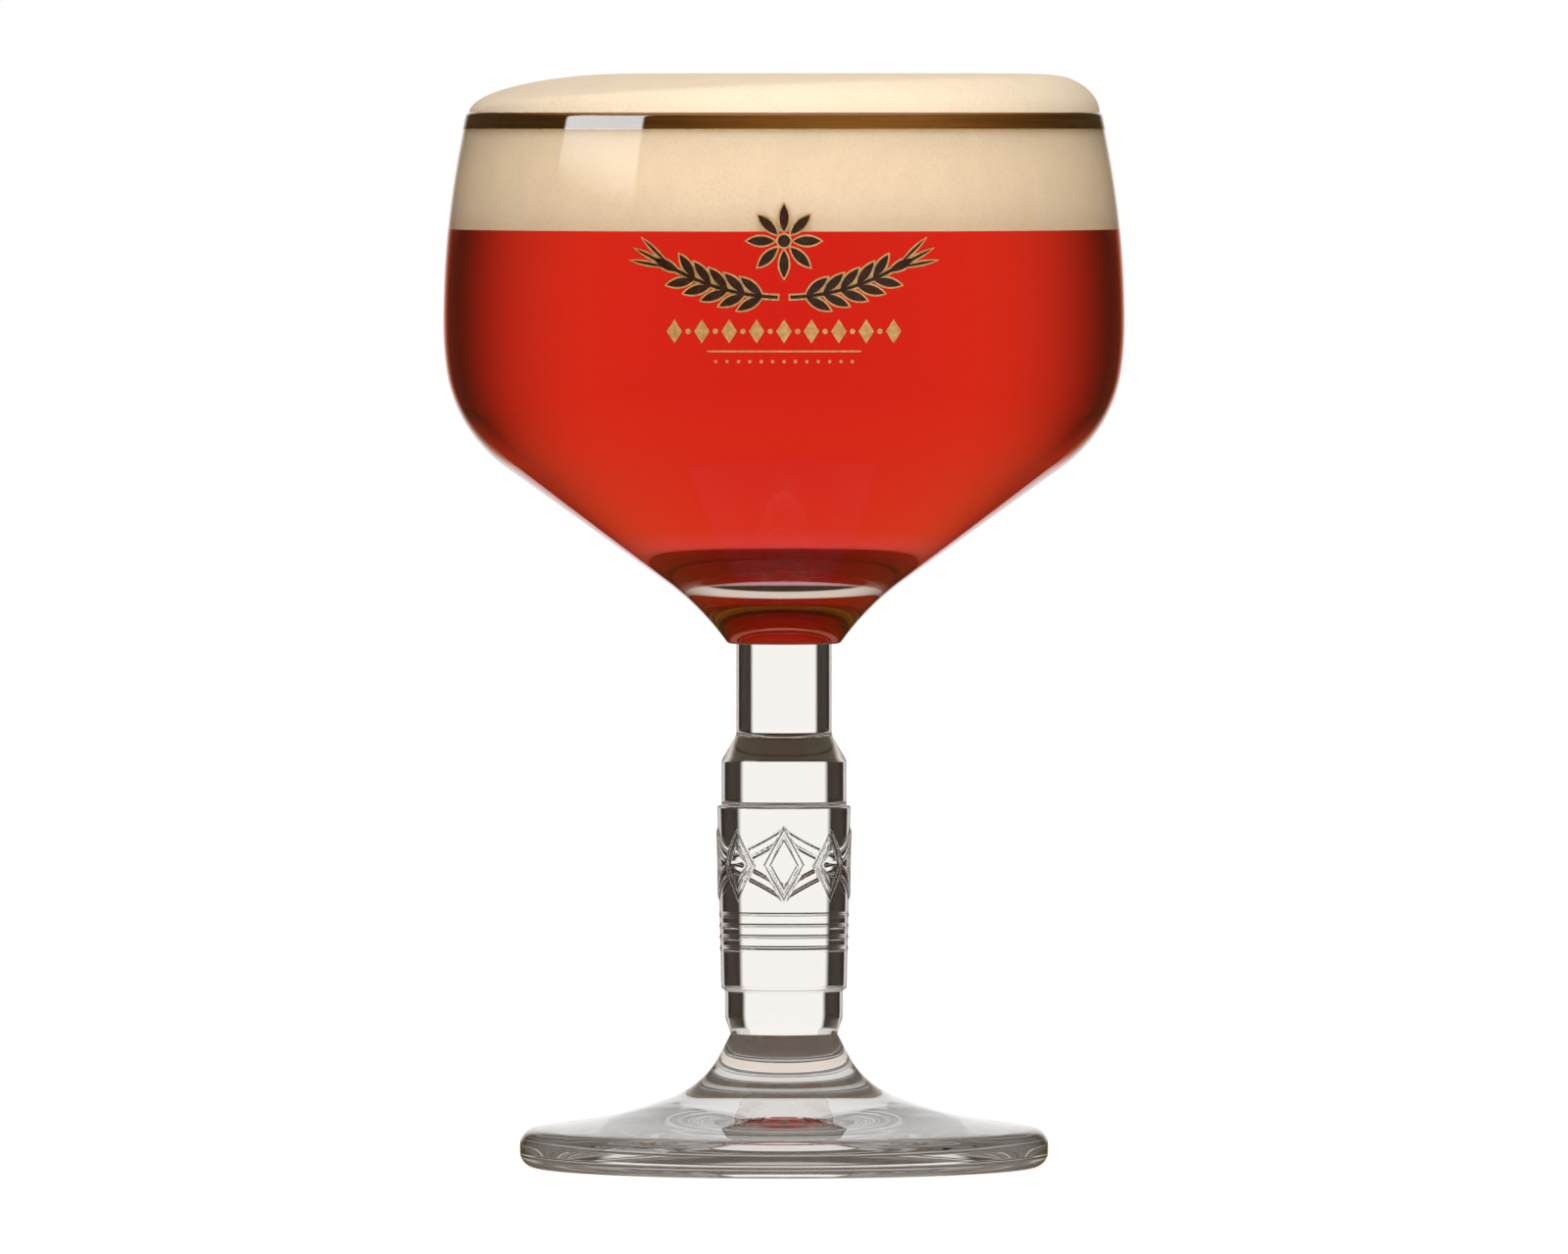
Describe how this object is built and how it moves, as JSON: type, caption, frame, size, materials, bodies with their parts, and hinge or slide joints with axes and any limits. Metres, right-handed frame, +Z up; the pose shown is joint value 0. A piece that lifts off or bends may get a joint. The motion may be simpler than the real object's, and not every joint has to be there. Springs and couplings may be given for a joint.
{
  "type": "chalice beer glass",
  "caption": "Stemmed chalice glass with a wide cone-bottomed bowl, thick stem and round foot, gold lip band and printed ornament, filled with red beer under a domed head of froth.",
  "frame": {"origin": "middle of the foot's underside, in the plane of the ring that stands on the table", "axes": "+Z up along the glass's axis; -Y is the printed front; +X is to the right of the front and is the steep side of the froth"},
  "size_m": [0.1036, 0.1037, 0.166],
  "materials": {
    "glass": "polished",
    "gold": "polished",
    "enamel": "gloss",
    "gold_ink": "satin",
    "beer": "polished",
    "froth": "matte"
  },
  "bodies": {
    "root": {"bowl": "glass", "stem": "glass", "foot": "glass", "rim_band": "gold", "enamel_print": "enamel", "gold_print": "gold_ink", "beer": "beer", "froth": "froth"}
  },
  "joints": []
}
